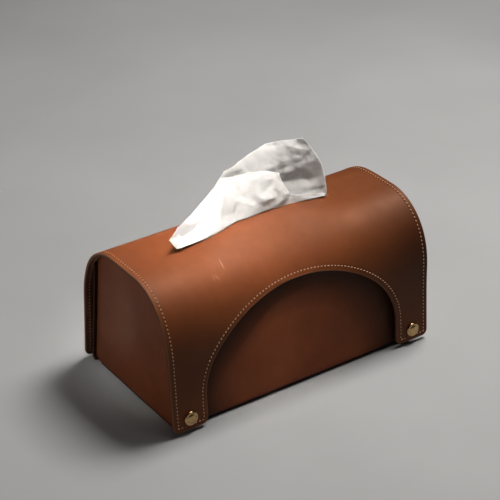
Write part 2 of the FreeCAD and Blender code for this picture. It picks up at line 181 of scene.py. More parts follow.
def add(tree, kind, inputs=None, out=0, **settings):
    """Add a shader node with its settings, set or link its inputs, and return one of its outputs."""
    made = tree.nodes.new("ShaderNode" + kind)
    for name, value in settings.items():
        setattr(made, name, value)
    for name, value in (inputs or {}).items():
        if isinstance(value, bpy.types.NodeSocket):
            tree.links.new(value, made.inputs[name])
        else:
            made.inputs[name].default_value = value
    return made.outputs[out]


def per_mm(size):
    """Texture scale at which a pattern repeats after about this many millimetres."""
    return 1 / (size * MM)


def new_material(name, values):
    """A material with a Principled shader, and the Object coordinates that its patterns read."""
    material = bpy.data.materials.new(name)
    material.use_nodes = True
    tree = material.node_tree
    shader = tree.nodes["Principled BSDF"]
    for socket, value in values.items():
        shader.inputs[socket].default_value = value
    return material, tree, shader.inputs, add(tree, "TexCoord", out="Object")


def cowhide(name, light, dark, worn, gloss_level, painted_shades):
    """Full-grain cowhide, dyed and waxed: an even satin surface whose tone drifts over a hand's width, with
    fine pores, burnished cut edges, a stitch groove darkened by pressing and by painted shade, pale scuffs, a
    painted sheen and patches of painted shade."""
    values = {"IOR": 1.5, "Specular IOR Level": gloss_level, "Specular Tint": srgb("#ffc09a")}
    material, tree, shader, place = new_material(name, values)
    hand = add(tree, "TexNoise", {"Vector": place, "Scale": per_mm(70), "Detail": 3.0})
    drift = add(tree, "MapRange", {"Value": hand, **MIDDLE})
    tone = add(tree, "Mix", {"Factor": drift, FIRST: light, SECOND: dark}, MIXED, **BLENDED)
    blotch = add(tree, "TexNoise", {"Vector": place, "Scale": per_mm(9), "Detail": 4.0})
    mottle = add(tree, "MapRange", {"Value": blotch, **MOST, "To Min": 0.93, "To Max": 1.06})
    tone = add(tree, "Mix", {"Factor": 1.0, FIRST: tone, SECOND: mottle}, MIXED, **MULTIPLIED)
    rim = add(tree, "Attribute", out="Fac", attribute_name="rim")
    burnish = add(tree, "MapRange", {"Value": rim, "From Min": 0.8, "To Max": 0.3})
    tone = add(tree, "Mix", {"Factor": burnish, FIRST: tone, SECOND: worn}, MIXED, **BLENDED)
    # The stitch groove is darkened: partly the pressed leather, partly painted shade in the groove.
    groove = add(tree, "Attribute", out="Fac", attribute_name="groove")
    pressed = add(tree, "MapRange", {"Value": groove, "From Min": 0.2, "To Max": 0.75})
    tone = add(tree, "Mix", {"Factor": pressed, FIRST: tone, SECOND: DARK_GROOVE}, MIXED, **BLENDED)
    # Scuffs mixed towards the worn tone; the last of them is a painted sheen.
    for at, turn, size, strength in SCUFFS_AND_SHEEN:
        spot = {"Vector": place, "Location": Vector(at) * MM, "Rotation": turn, "Scale": Vector(size) * MM}
        spot = add(tree, "Mapping", spot, vector_type="TEXTURE")
        spot = add(tree, "TexGradient", {"Vector": spot}, "Fac", gradient_type="SPHERICAL")
        scuff_and_sheen = add(tree, "MapRange", {"Value": spot, "From Max": 0.6, "To Max": strength})
        tone = add(tree, "Mix", {"Factor": scuff_and_sheen, FIRST: tone, SECOND: worn}, MIXED, **BLENDED)
    # Painted shade: soft patches mixed towards a dark tone.
    for at, size, clear, full, strength in painted_shades:
        spot = {"Vector": place, "Location": Vector(at) * MM, "Scale": Vector(size) * MM}
        spot = add(tree, "Mapping", spot, vector_type="TEXTURE")
        spot = add(tree, "TexGradient", {"Vector": spot}, "Fac", gradient_type="SPHERICAL")
        shade = {"Value": spot, "From Min": clear, "From Max": full, "To Max": strength}
        shade = add(tree, "MapRange", shade)
        tone = add(tree, "Mix", {"Factor": shade, FIRST: tone, SECOND: PAINTED_SHADE_TONE}, MIXED, **BLENDED)
    tree.links.new(tone, shader["Base Color"])
    polish = add(tree, "TexNoise", {"Vector": place, "Scale": per_mm(26), "Detail": 3.0})
    gloss = add(tree, "MapRange", {"Value": polish, **MOST, "To Min": 0.5, "To Max": 0.6})
    tree.links.new(gloss, shader["Roughness"])
    sag = add(tree, "TexNoise", {"Vector": place, "Scale": per_mm(38)})
    sag = add(tree, "Bump", {"Height": sag, "Distance": 1.0 * MM, "Strength": 0.3})
    # Pores of cowhide are about 0.2 mm apart: drawn at 0.9 mm so that they show.
    pores = add(tree, "TexNoise", {"Vector": place, "Scale": per_mm(0.9), "Roughness": 0.6})
    grain = add(tree, "Bump", {"Height": pores, "Distance": 0.06 * MM, "Strength": 0.35, "Normal": sag})
    tree.links.new(grain, shader["Normal"])
    return material


# Dark tones of the stitch groove, partly pressed leather and partly painted shade, and of the painted shade
# patches.
DARK_GROOVE, PAINTED_SHADE_TONE = srgb("#2a140b"), srgb("#1e1009")
# Scuffs and pale places in the cowhide, with a painted sheen on the left end panel, in millimetres: where
# each lies, how it
# # turns, its half-lengths, and how strongly it shows.
SCUFFS_AND_SHEEN = (
    ((-56.7, -35.1, 117.6), (0.4, 0.0, -0.09), (0.4, 7.5, 3.0), 0.5),
    ((-68.9, -42.9, 113.6), (0.6, 0.0, 0.12), (0.4, 4.2, 3.0), 0.4),
    ((-66.0, -43.0, 113.5), (0.6, 0.0, 0.5), (2.2, 5.0, 3.0), 0.16),
    ((-120.9, -43.7, 113.5), (0.6, 0.0, 0.0), (3.0, 7.0, 3.0), 0.35),
    # Painted sheen: a pale streak down the middle of the left end panel.
    ((-119.0, 12.0, 62.0), (0.1, 0.0, 0.0), (14.0, 22.0, 42.0), 0.1),
)

# Painted shade in the cowhide, darker towards the wrap's right end and down its legs, in millimetres: the
# middle of each
# # patch and how far it spreads, the share of the way to its middle where it starts to show and where it
# shows fully, and how strongly it shows.
PAINTED_SHADE_PATCHES = (
    ((125.0, -78.0, 75.0), (90.0, 70.0, 110.0), 0.0, 1.0, 0.95),
    ((-100.0, -78.0, 55.0), (75.0, 60.0, 95.0), 0.0, 1.0, 0.7),
    ((125.0, 75.0, 45.0), (75.0, 60.0, 95.0), 0.0, 1.0, 0.6),
    ((-100.0, 78.0, 40.0), (75.0, 60.0, 95.0), 0.0, 1.0, 0.45),
    ((140.0, 0.0, 122.0), (80.0, 110.0, 60.0), 0.0, 1.0, 0.45),
)
# Painted shadow on the tray's walls: dark where the wrap covers and overhangs them, fading out inside the
# arches.
PAINTED_ARCH_SHADOW = (((0.0, 0.0, 16.0), (96.0, 900.0, 80.0), 0.4, 0.06, 0.9),)


def wrap_leather(colours):
    """Waxed cowhide of the wrap, with painted shade towards its right end and down its legs."""
    return cowhide("waxed_cowhide", colours.leather, colours.leather_dark, colours.leather_worn, 0.33, PAINTED_SHADE_PATCHES)


def tray_leather(colours):
    """The tray's cowhide: dyed like the wrap's but less waxed, so it looks a shade redder, with a painted
    shadow on its walls outside the arches.
    """
    return cowhide("tray_cowhide", colours.tray, colours.tray_dark, colours.leather_worn, 0.25, PAINTED_ARCH_SHADOW)


def panel_leather_painted_light(colours):
    """The end panels' cowhide: like the tray's, but paler all over, painted light that stands for the light
    falling on the end faces.
    """
    return cowhide("panel_cowhide_painted_light", colours.panel, colours.panel_dark, colours.leather_worn, 0.3, ())


def split_leather(colours):
    """Split leather lining: matt, with a short nap that blurs its tone."""
    values = {"Roughness": 0.85, "IOR": 1.45, "Sheen Weight": 0.1}
    material, tree, shader, place = new_material("split_leather", values)
    nap = add(tree, "TexNoise", {"Vector": place, "Scale": per_mm(2.5), "Detail": 4.0})
    nap = add(tree, "MapRange", {"Value": nap, **MOST, "To Min": 0.8, "To Max": 1.12})
    tone = add(tree, "Mix", {"Factor": 1.0, FIRST: colours.lining, SECOND: nap}, MIXED, **MULTIPLIED)
    tree.links.new(tone, shader["Base Color"])
    fibres = add(tree, "TexNoise", {"Vector": place, "Scale": per_mm(0.7), "Detail": 3.0, "Roughness": 0.7})
    fibres = add(tree, "Bump", {"Height": fibres, "Distance": 0.15 * MM, "Strength": 0.5})
    tree.links.new(fibres, shader["Normal"])
    return material


def linen_thread(colours):
    """Waxed linen thread: pale and a little glossy, with uneven strands."""
    material, tree, shader, place = new_material("waxed_linen_thread", {"Roughness": 0.5, "IOR": 1.5})
    strand = add(tree, "TexNoise", {"Vector": place, "Scale": per_mm(0.9)})
    strand = add(tree, "MapRange", {"Value": strand, **MOST, "To Min": 0.8, "To Max": 1.1})
    tone = add(tree, "Mix", {"Factor": 1.0, FIRST: colours.thread, SECOND: strand}, MIXED, **MULTIPLIED)
    tree.links.new(tone, shader["Base Color"])
    return material


def aged_brass(colours):
    """Pressed brass that has dulled: warm and half-polished, with brown tarnish in patches."""
    material, tree, shader, place = new_material("aged_brass", {"Metallic": 1.0})
    patches = add(tree, "TexNoise", {"Vector": place, "Scale": per_mm(2.2), "Detail": 4.0, "Roughness": 0.6})
    patches = add(tree, "MapRange", {"Value": patches, "From Min": 0.45, "From Max": 0.75})
    tarnish = srgb("#7f6a48")
    tone = add(tree, "Mix", {"Factor": patches, FIRST: colours.brass, SECOND: tarnish}, MIXED, **BLENDED)
    tree.links.new(tone, shader["Base Color"])
    dull = add(tree, "MapRange", {"Value": patches, "To Min": 0.18, "To Max": 0.3})
    tree.links.new(dull, shader["Roughness"])
    return material


def tissue_paper(colours):
    """Creped tissue paper: white and fully matt, thin enough to glow where it is lit from behind, with fine
    crepe lines and fibre clouds."""
    values = {"Roughness": 0.95, "IOR": 1.45, "Specular IOR Level": 0.15}
    material, tree, shader, place = new_material("tissue_paper", values)
    cloud = add(tree, "TexNoise", {"Vector": place, "Scale": per_mm(6), "Detail": 4.0})
    cloud = add(tree, "MapRange", {"Value": cloud, **MOST, "To Min": 0.95, "To Max": 1.0})
    tone = add(tree, "Mix", {"Factor": 1.0, FIRST: colours.tissue, SECOND: cloud}, MIXED, **MULTIPLIED)
    tree.links.new(tone, shader["Base Color"])
    # Crepe lines are about 0.3 mm apart: drawn at 1 mm so that they show.
    crepe = add(tree, "TexNoise", {"Vector": place, "Scale": per_mm(1.0), "Detail": 3.0, "Roughness": 0.6})
    crepe = add(tree, "Bump", {"Height": crepe, "Distance": 0.12 * MM, "Strength": 0.4})
    tree.links.new(crepe, shader["Normal"])
    glow = add(tree, "BsdfTranslucent", {"Color": tone, "Normal": crepe})
    front = tree.nodes["Principled BSDF"].outputs["BSDF"]
    glow_share = 0.25
    both = add(tree, "MixShader", {0: glow_share, 1: front, 2: glow})
    tree.links.new(both, tree.nodes["Material Output"].inputs["Surface"])
    return material


def wool_felt(colours):
    """Pressed wool felt: black, light-absorbing, with a fuzzy surface."""
    values = {"Roughness": 1.0, "Specular IOR Level": 0.1, "Sheen Weight": 0.15}
    material, tree, shader, place = new_material("black_wool_felt", values)
    fuzz = add(tree, "TexNoise", {"Vector": place, "Scale": per_mm(0.8), "Detail": 3.0})
    shade = add(tree, "MapRange", {"Value": fuzz, **MOST, "To Min": 0.6, "To Max": 1.3})
    tone = add(tree, "Mix", {"Factor": 1.0, FIRST: colours.felt, SECOND: shade}, MIXED, **MULTIPLIED)
    tree.links.new(tone, shader["Base Color"])
    fuzz = add(tree, "Bump", {"Height": fuzz, "Distance": 0.2 * MM, "Strength": 0.6})
    tree.links.new(fuzz, shader["Normal"])
    return material


def grey_board(colours):
    """Pressed paper board: matt grey with darker flecks."""
    material, tree, shader, place = new_material("grey_board", {"Roughness": 0.9})
    flecks = add(tree, "TexNoise", {"Vector": place, "Scale": per_mm(1.5), "Detail": 4.0, "Roughness": 0.7})
    flecks = add(tree, "MapRange", {"Value": flecks, "From Min": 0.45, "From Max": 0.7})
    dark = srgb("#6a665e")
    tone = add(tree, "Mix", {"Factor": flecks, FIRST: colours.board, SECOND: dark}, MIXED, **BLENDED)
    tree.links.new(tone, shader["Base Color"])
    return material


def brown_suede(colours):
    """Suede: a soft nap whose tone shifts in brushed patches."""
    material, tree, shader, place = new_material("brown_suede", {"Roughness": 0.95, "Sheen Weight": 0.25})
    brushed = add(tree, "TexNoise", {"Vector": place, "Scale": per_mm(14), "Detail": 3.0})
    brushed = add(tree, "MapRange", {"Value": brushed, **MIDDLE, "To Min": 0.8, "To Max": 1.15})
    tone = add(tree, "Mix", {"Factor": 1.0, FIRST: colours.suede, SECOND: brushed}, MIXED, **MULTIPLIED)
    tree.links.new(tone, shader["Base Color"])
    nap = add(tree, "TexNoise", {"Vector": place, "Scale": per_mm(0.7), "Detail": 3.0})
    nap = add(tree, "Bump", {"Height": nap, "Distance": 0.2 * MM, "Strength": 0.5})
    tree.links.new(nap, shader["Normal"])
    return material


def studio_floor(colours):
    """Painted studio floor: pale and matt, with a faint drift of tone."""
    values = {"Roughness": 0.7, "Specular IOR Level": 0.3}
    material, tree, shader, place = new_material("painted_floor", values)
    drift = add(tree, "TexNoise", {"Vector": place, "Scale": per_mm(220), "Detail": 4.0})
    drift = add(tree, "MapRange", {"Value": drift, **MOST, "To Min": 0.94, "To Max": 1.05})
    tone = add(tree, "Mix", {"Factor": 1.0, FIRST: colours.floor, SECOND: drift}, MIXED, **MULTIPLIED)
    tree.links.new(tone, shader["Base Color"])
    return material


MATERIALS = {
    "leather": wrap_leather,
    "tray": tray_leather,
    "panel": panel_leather_painted_light,
    "lining": split_leather,
    "thread": linen_thread,
    "brass": aged_brass,
    "tissue": tissue_paper,
    "felt": wool_felt,
    "board": grey_board,
    "suede": brown_suede,
    "floor": studio_floor,
}
finishes = {}


def finish(kind):
    """The material for one kind of surface, made when it is first asked for."""
    if kind not in finishes:
        finishes[kind] = MATERIALS[kind](bpy.context.scene.cover_colours)
    return finishes[kind]


# Pieces


SHARP = math.radians(50)  # edges that turn by more than this break the shading
CUT_EDGE = math.radians(60)  # edges that turn by more than this get rounded
WAVE_LENGTH = 55 * MM  # across one rise of the leather's slow unevenness


def new_piece(name, bm, material):
    """Object at the origin from a finished bmesh, shaded smooth up to its sharp edges."""
    mesh = bpy.data.meshes.new(name)
    for face in bm.faces:
        face.smooth = True
    bm.to_mesh(mesh)
    bm.free()
    mesh.materials.append(finish(material))
    piece = bpy.data.objects.new(name, mesh)
    bpy.context.scene.collection.objects.link(piece)
    return piece


def even_normals(piece):
    """Keep broad faces flat beside narrow rounded edges."""
    modifier = piece.modifiers.new("even_normals", "WEIGHTED_NORMAL")
    modifier.keep_sharp = True


def mark_sharp(bm):
    """Let the shading break at sharp edges."""
    for edge in bm.edges:
        if edge.is_manifold and edge.calc_face_angle() > SHARP:
            edge.smooth = False


def everything(bm):
    """All of a bmesh, for a cut right through it."""
    return bm.verts[:] + bm.edges[:] + bm.faces[:]


def wave(x, y, height):
    """Slow unevenness of hand-cut leather."""
    return height * noise.noise(Vector((x, y, 0.3)) / WAVE_LENGTH)


# Leather wrap


RINGS = (0.0, 1.2, 3.1, 4.0, 4.9)  # millimetres from the cut edge to each ring of the flat pattern
SEAM_SPARE = 14 * MM  # how far the flat pattern runs past the middle of the top before it is trimmed
SLIT_SPARE = 10 * MM  # how far past the slit's ends its edges are still left unstitched
SLIT_BAND = 20 * MM  # how far down from the middle of the top those edges reach
WRAP_WAVE = 0.25 * MM  # height of the wrap's unevenness
LIP_CURVE = 1.2  # how quickly the push on the slit's lips falls off towards its ends
# How the slit's lips close towards its ends, in shares of its half length: how far before an end they start,
# over which length they come together and how far past the end they part again. The last is how nearly they
# meet.
CLOSE_BEFORE, CLOSE_OVER, CLOSE_PAST, CLOSE_SHARE = 0.4, 0.3, 0.2, 0.88
ARCH_STEPS, GRID_COLUMNS = 48, 48
FINE_CUT, COARSE_CUT = 2.5 * MM, 5 * MM
FINE_FROM = 4 * MM  # finer cuts start this far before the corner
LAST_CUT = 2 * MM  # no cut starts closer than this to the lower edge


class Wrap:
    """The front half of the wrap: its flat pattern, and how the pattern rolls over the top and down the side.
    In the pattern, X runs along the cover, -Y down the front from the middle of the top, and Z is the height
    above the outside."""

    def __init__(self, sizes):
        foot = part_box("front_flap")[0] - Vector((0, 0, sizes.foot_drop))
        _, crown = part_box("cover_crown")
        self.sizes = sizes
        self.half = crown.x
        self.top = crown.z
        self.lean = sizes.side_lean
        self.shoulder = sizes.shoulder_angle
        corner, shoulder = sizes.corner_radius, sizes.shoulder_radius
        centre_z = self.top - corner
        shoulder_z = centre_z - (shoulder - corner) * math.sin(self.shoulder)
        side_top = shoulder_z + shoulder * math.sin(self.lean)
        reach = shoulder * math.cos(self.lean) - (shoulder - corner) * math.cos(self.shoulder)
        reach += (side_top - foot.z) * math.tan(self.lean)
        self.flat = -foot.y - reach
        self.corner_centre = Vector((0, -self.flat, centre_z))
        shoulder_y = -self.flat + (shoulder - corner) * math.cos(self.shoulder)
        self.shoulder_centre = Vector((0, shoulder_y, shoulder_z))
        self.corner_end = self.flat + corner * (UPRIGHT - self.shoulder)
        self.side_start = self.corner_end + shoulder * (self.shoulder - self.lean)
        self.foot = self.side_start + (side_top - foot.z) / math.cos(self.lean)
        self.arch = self.half - sizes.leg_width
        self.spring = foot.z + sizes.arch_straight

    def down(self, s, lift):
        """Place on the front half, at a distance s from the middle of the top and lifted off the outside."""
        if s < self.flat:
            return Vector((0, -s, self.top + lift))
        if s < self.corner_end:
            facing = UPRIGHT - (s - self.flat) / self.sizes.corner_radius
            centre, radius = self.corner_centre, self.sizes.corner_radius
        elif s < self.side_start:
            facing = self.shoulder - (s - self.corner_end) / self.sizes.shoulder_radius
            centre, radius = self.shoulder_centre, self.sizes.shoulder_radius
        else:
            facing, centre, radius = self.lean, self.shoulder_centre, self.sizes.shoulder_radius
        out = Vector((0, -math.cos(facing), math.sin(facing)))
        along = Vector((0, -math.sin(facing), -math.cos(facing)))
        return centre + out * (radius + lift) + along * max(s - self.side_start, 0)

    def drop(self, z):
        """Distance from the middle of the top to a height on the side or shoulder."""
        rise = z - self.shoulder_centre.z
        if rise < self.sizes.shoulder_radius * math.sin(self.lean):
            side_top = self.shoulder_centre.z + self.sizes.shoulder_radius * math.sin(self.lean)
            return self.side_start + (side_top - z) / math.cos(self.lean)
        facing = math.asin(rise / self.sizes.shoulder_radius)
        return self.corner_end + self.sizes.shoulder_radius * (self.shoulder - facing)

    def rolled(self, point, lip):
        """Where a point of the flat pattern comes to lie, with the slit's lip pushed up."""
        x, lift = point.x, point.z
        s = self.closed(x, -point.y)
        lift += wave(x, s, WRAP_WAVE) * min(s / self.flat, 1)
        place = self.down(s, lift)
        beside = max(s - self.sizes.slit_width / 2, 0) / self.sizes.lip_reach
        push = lip * self.lip_push(x) * math.exp(-(beside**2))
        return Vector((x, place.y, place.z + push))

    def closed(self, x, s):
        """Distance s from the middle of the top once the slit's lips have closed towards its ends."""
        end, edge = self.sizes.slit_length / 2, self.sizes.slit_width / 2
        past = (abs(x) - end) / end
        if past < 0:
            closing = min(max((past + CLOSE_BEFORE) / CLOSE_OVER, 0), 1)
        else:
            closing = max(1 - past / CLOSE_PAST, 0)
        spread = math.exp(-((max(s - edge, 0) / self.sizes.lip_reach) ** 2))
        return s - CLOSE_SHARE * edge * closing**2 * spread * min(max(s, 0) / edge, 1)

    def swell(self, x, s, side):
        """How far the right end stands fuller: over the top and the front corner, fading out from there."""
        past = s if side > 0 else max(s - self.corner_end, 0)
        fade = math.exp(-((past / self.sizes.swell_fade) ** 2))
        return self.sizes.end_swell * max(x / self.half, 0) ** 3 * fade

    def lip_push(self, x):
        """Share of the lips' push along the slit: 1 where it is most and 0 at the slit's ends."""
        end = math.copysign(self.sizes.slit_length / 2, x - self.sizes.lip_middle)
        along = min((x - self.sizes.lip_middle) / (end - self.sizes.lip_middle), 1)
        return (1 - along**2) ** LIP_CURVE

    def arch_point(self, turn, inset):
        """Point of the arch's cut edge, moved into the leather by inset."""
        step = math.radians(0.5)
        points = []
        for t in (turn - step, turn, turn + step):
            z = self.spring + (self.sizes.arch_top - self.spring) * math.sin(t)
            points.append(Vector((self.arch * math.cos(t), -self.drop(z))))
        before, here, after = points
        along = (after - before).normalized()
        return here + Vector((along.y, -along.x)) * inset

    def half_outline(self, inset):
        """Right half of the pattern's outline, from the top to the middle of the arch, moved in by inset."""
        radius = self.sizes.foot_radius
        points = [Vector((self.half - inset, SEAM_SPARE - inset))]
        corners = ((self.half - radius, range(0, -91, -18)), (self.arch + radius, range(-90, -181, -18)))
        for x, turns in corners:
            for turn in turns:
                a = math.radians(turn)
                centre = Vector((x, -self.foot + radius))
                points.append(centre + Vector((math.cos(a), math.sin(a))) * (radius - inset))
        points += [self.arch_point(UPRIGHT * i / ARCH_STEPS, inset) for i in range(1, ARCH_STEPS + 1)]
        return points

    def slit_outline(self, inset):
        """Right half of the slit's outline, from its end to the middle of its front edge."""
        radius = self.sizes.slit_width / 2
        centre = Vector((self.sizes.slit_length / 2 - radius, 0))
        points = [centre + Vector((radius + inset, SEAM_SPARE - inset))]
        for turn in range(0, -91, -15):
            a = math.radians(turn)
            points.append(centre + Vector((math.cos(a), math.sin(a))) * (radius + inset))
        return points

    def outline(self, inset):
        """Whole outline of the pattern, moved into the leather by inset."""
        edge, slit = self.half_outline(inset), self.slit_outline(inset)
        flip = [Vector((-p.x, p.y)) for p in edge[-2::-1]]
        slit_left = [Vector((-p.x, p.y)) for p in slit]
        return edge + flip + slit_left + slit[::-1]

    def levels(self):
        """Distances down the front where the pattern is cut across, closest together where it bends most."""
        s, found = 0.0, []
        while s < self.foot - LAST_CUT:
            s += FINE_CUT if self.flat - FINE_FROM < s < self.side_start else COARSE_CUT
            found.append(s)
        return found


def cut_grid(bm, places, normal):
    """Cut a flat pattern across at each of these places."""
    for place in places:
        bmesh.ops.bisect_plane(bm, geom=everything(bm), plane_co=place, plane_no=normal)


def thicken(bm, thickness, rounding):
    """Give a flat pattern its thickness, downwards, and round its cut edges."""
    made = bmesh.ops.extrude_face_region(bm, geom=bm.faces[:])["geom"]
    lower = [g for g in made if isinstance(g, bmesh.types.BMVert)]
    bmesh.ops.translate(bm, verts=lower, vec=(0, 0, -thickness))
    bmesh.ops.recalc_face_normals(bm, faces=bm.faces[:])
    cut_edges = [e for e in bm.edges if e.is_manifold and e.calc_face_angle() > CUT_EDGE]
    bmesh.ops.bevel(
        bm, geom=cut_edges, offset=rounding, segments=2, profile=0.5, affect="EDGES", material=-1
    )


def flat_layer(wrap, top, thickness, groove_depth):
    """One layer of the wrap's half, lying flat as it is cut: rings along its edges, then a grid of cuts."""
    bm = bmesh.new()
    rim = bm.verts.layers.float.new("rim")
    groove = bm.verts.layers.float.new("groove")
    stitch_inset = bpy.context.scene.stitch_sizes.inset
    slit_zone = wrap.sizes.slit_length / 2 + SLIT_SPARE
    before = None
    for ring in RINGS:
        inset = ring * MM
        loop = [bm.verts.new((p.x, p.y, 0)) for p in wrap.outline(inset)]
        for vert in loop:
            vert[rim] = 1 - ring / RINGS[-1]
            beside_slit = abs(vert.co.x) < slit_zone and vert.co.y > -SLIT_BAND
            vert[groove] = float(abs(inset - stitch_inset) < 0.1 * MM and not beside_slit)
        edges = [bm.edges.new(pair) for pair in zip(loop, loop[1:] + loop[:1])]
        if before:
            bmesh.ops.bridge_loops(bm, edges=before + edges)
        before = edges
    bm.faces.new(loop)
    cut_grid(bm, [(0, -s, 0) for s in wrap.levels()], (0, 1, 0))
    columns = [wrap.half * (2 * i / GRID_COLUMNS - 1) for i in range(1, GRID_COLUMNS)]
    cut_grid(bm, [(x, 0, 0) for x in columns], (1, 0, 0))
    thicken(bm, thickness, min(wrap.sizes.edge_round, thickness * 0.4))
    for vert in bm.verts:
        if vert.co.z > -thickness / 2:
            vert.co.z -= groove_depth * vert[groove]
    bmesh.ops.bisect_plane(
        bm, geom=everything(bm), plane_co=(0, 0, 0), plane_no=(0, 1, 0), clear_outer=True
    )
    bmesh.ops.holes_fill(bm, edges=[e for e in bm.edges if e.is_boundary])
    bmesh.ops.translate(bm, verts=bm.verts[:], vec=(0, 0, top))
    return bm


def roll(bm, wrap, side, lip):
    """Roll a flat half over the front (side -1) or the back (side 1)."""
    for vert in bm.verts:
        vert.co.z += wrap.swell(vert.co.x, -vert.co.y, side)
        vert.co = wrap.rolled(vert.co, lip)
        if side > 0:
            vert.co.y = -vert.co.y
    bmesh.ops.recalc_face_normals(bm, faces=bm.faces[:])
    mark_sharp(bm)


SIDES = {"front": -1, "back": 1}
BEND_FACING = math.radians(34)  # how far the leather leans from upright where it bends
BEND_LENGTH = 24 * MM  # how much of the leather takes part in the bend


def hinge_line(name):
    """Points between which a side of the wrap bends as it swings up: the joint and a place further down."""
    joint = next(j for j in frame["joints"] if j["name"] == f"{name}_bend")
    start = Vector(joint["pos_m"])
    down = Vector((0, SIDES[name] * math.sin(BEND_FACING), -math.cos(BEND_FACING)))
    return start, start + down * BEND_LENGTH


def bend_with(piece, name):
    """Bake a piece of the wrap's place into its mesh; the line that its side would bend along is found but
    not used.
    """
    start, end = hinge_line(name)
    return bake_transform(piece)


class COVER_OT_wrap(bpy.types.Operator):
    """Build the leather wrap: outer leather and lining, rolled over the front and the back"""

    bl_idname = "cover.wrap"
    bl_label = "Leather wrap"

    def execute(self, context):
        sizes = context.scene.wrap_sizes
        wrap = Wrap(sizes)
        lining_top = -(sizes.leather + sizes.glue_line)
        leather = flat_layer(wrap, 0.0, sizes.leather, context.scene.stitch_sizes.groove)
        lining = flat_layer(wrap, lining_top, sizes.lining, 0.0)
        layers = {
            "leather": (leather, "cover_crown", "flap"),
            "lining": (lining, "crown_lining", "flap_lining"),
        }
        for layer, (flat, crown, flap) in layers.items():
            for name, side in SIDES.items():
                bm = flat.copy()
                roll(bm, wrap, side, sizes.front_lip if name == "front" else sizes.back_lip)
                piece = new_piece(f"{name}_{layer}", bm, layer)
                even_normals(piece)
                bend_with(piece, name)
                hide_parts(crown, f"{name}_{flap}")
            flat.free()
        return {"FINISHED"}


# Stitching


STITCH_RISE = 0.35  # share of the thread's thickness by which a stitch's middle lies above its groove


def stitch_line(wrap, inset):
    """Line of the stitches on the flat pattern, from the top round both legs and the arch to the top."""
    edge = wrap.half_outline(inset)
    edge[0].y = 0.0
    return edge + [Vector((-p.x, p.y)) for p in edge[-2::-1]]


def spaced(line, pitch):
    """Places and directions along a line, evenly spaced."""
    total = sum((b - a).length for a, b in zip(line, line[1:]))
    count = round(total / pitch)
    step, walked, next_at = total / count, 0.0, total / count / 2
    for a, b in zip(line, line[1:]):
        span = (b - a).length
        while next_at <= walked + span and span > 0:
            yield a.lerp(b, (next_at - walked) / span), (b - a).normalized()
            next_at += step
        walked += span


def stitch_turn(place, direction, lift, slant):
    """Where a stitch lies on the flat pattern, and which way it turns."""
    turn = math.atan2(direction.y, direction.x) + slant
    return Matrix.Translation((place.x, place.y, lift)) @ Matrix.Rotation(turn, 4, "Z")


def one_stitch(sizes):
    """Short thread that dives into the leather at both ends."""
    bm = bmesh.new()
    shape = Matrix.Diagonal((sizes.stitch / 2, sizes.thread / 2, sizes.thread / 2, 1))
    bmesh.ops.create_uvsphere(bm, u_segments=8, v_segments=5, radius=1, matrix=shape)
    mesh = bpy.data.meshes.new("one_stitch")
    bm.to_mesh(mesh)
    bm.free()
    return mesh


class COVER_OT_stitching(bpy.types.Operator):
    """Sew the border stitching, on the outside and through to the lining"""

    bl_idname = "cover.stitching"
    bl_label = "Border stitching"

    def execute(self, context):
        sizes, wrap_sizes = context.scene.stitch_sizes, context.scene.wrap_sizes
        wrap = Wrap(wrap_sizes)
        outside = -sizes.groove + sizes.thread * STITCH_RISE
        inside = -(wrap_sizes.leather + wrap_sizes.glue_line + wrap_sizes.lining)
        stitch = one_stitch(sizes)
        for name, side in SIDES.items():
            bm = bmesh.new()
            for place, direction in spaced(stitch_line(wrap, sizes.inset), sizes.pitch):
                for lift in (outside, inside):
                    moved = stitch.copy()
                    moved.transform(stitch_turn(place, direction, lift, sizes.slant))
                    bm.from_mesh(moved)
                    bpy.data.meshes.remove(moved)
            roll(bm, wrap, side, 0.0)
            piece = new_piece(f"{name}_stitching", bm, "thread")
            bend_with(piece, name)
        bpy.data.meshes.remove(stitch)
        return {"FINISHED"}


# Snaps


# Outline of a cap, in millimetres: a shallow dome, a groove and a rolled rim.
CAP_PROFILE = (
    (0.0, 2.5), (1.2, 2.44), (2.4, 2.27), (3.4, 1.98), (4.1, 1.65), (4.6, 1.55), (5.0, 1.72), (5.5, 1.7),
    (5.95, 1.35), (6.2, 0.7), (6.15, 0.2), (5.8, 0.0),
)
# Radius of a cap's shank, and how far it reaches through the leather, in millimetres.
SHANK, SHANK_REACH = 1.8, 3.3


def snap_cap(profile):
    """A cap with its shank, turned round Z."""
    bm = bmesh.new()
    verts = [bm.verts.new((r * MM, 0, z * MM)) for r, z in profile]
    edges = [bm.edges.new(pair) for pair in zip(verts, verts[1:])]
    bmesh.ops.spin(
        bm, geom=verts + edges, cent=(0, 0, 0), axis=(0, 0, 1), angle=math.radians(360), steps=48,
        use_merge=True,
    )
    bmesh.ops.remove_doubles(bm, verts=bm.verts[:], dist=0.01 * MM)
    bmesh.ops.recalc_face_normals(bm, faces=bm.faces[:])
    return bm


def snap_place(wrap, side, end):
    """Where a snap sits on a leg, turned to face away from the leather."""
    s = wrap.foot - wrap.sizes.snap_rise
    place = wrap.down(s, 0.0)
    out = wrap.down(s, 1.0) - place
    place.y, out.y = -side * place.y, -side * out.y
    matrix = Matrix.Translation((end * (wrap.half - wrap.sizes.snap_inset), place.y, place.z))
    return matrix @ out.to_track_quat("Z", "X").to_matrix().to_4x4()


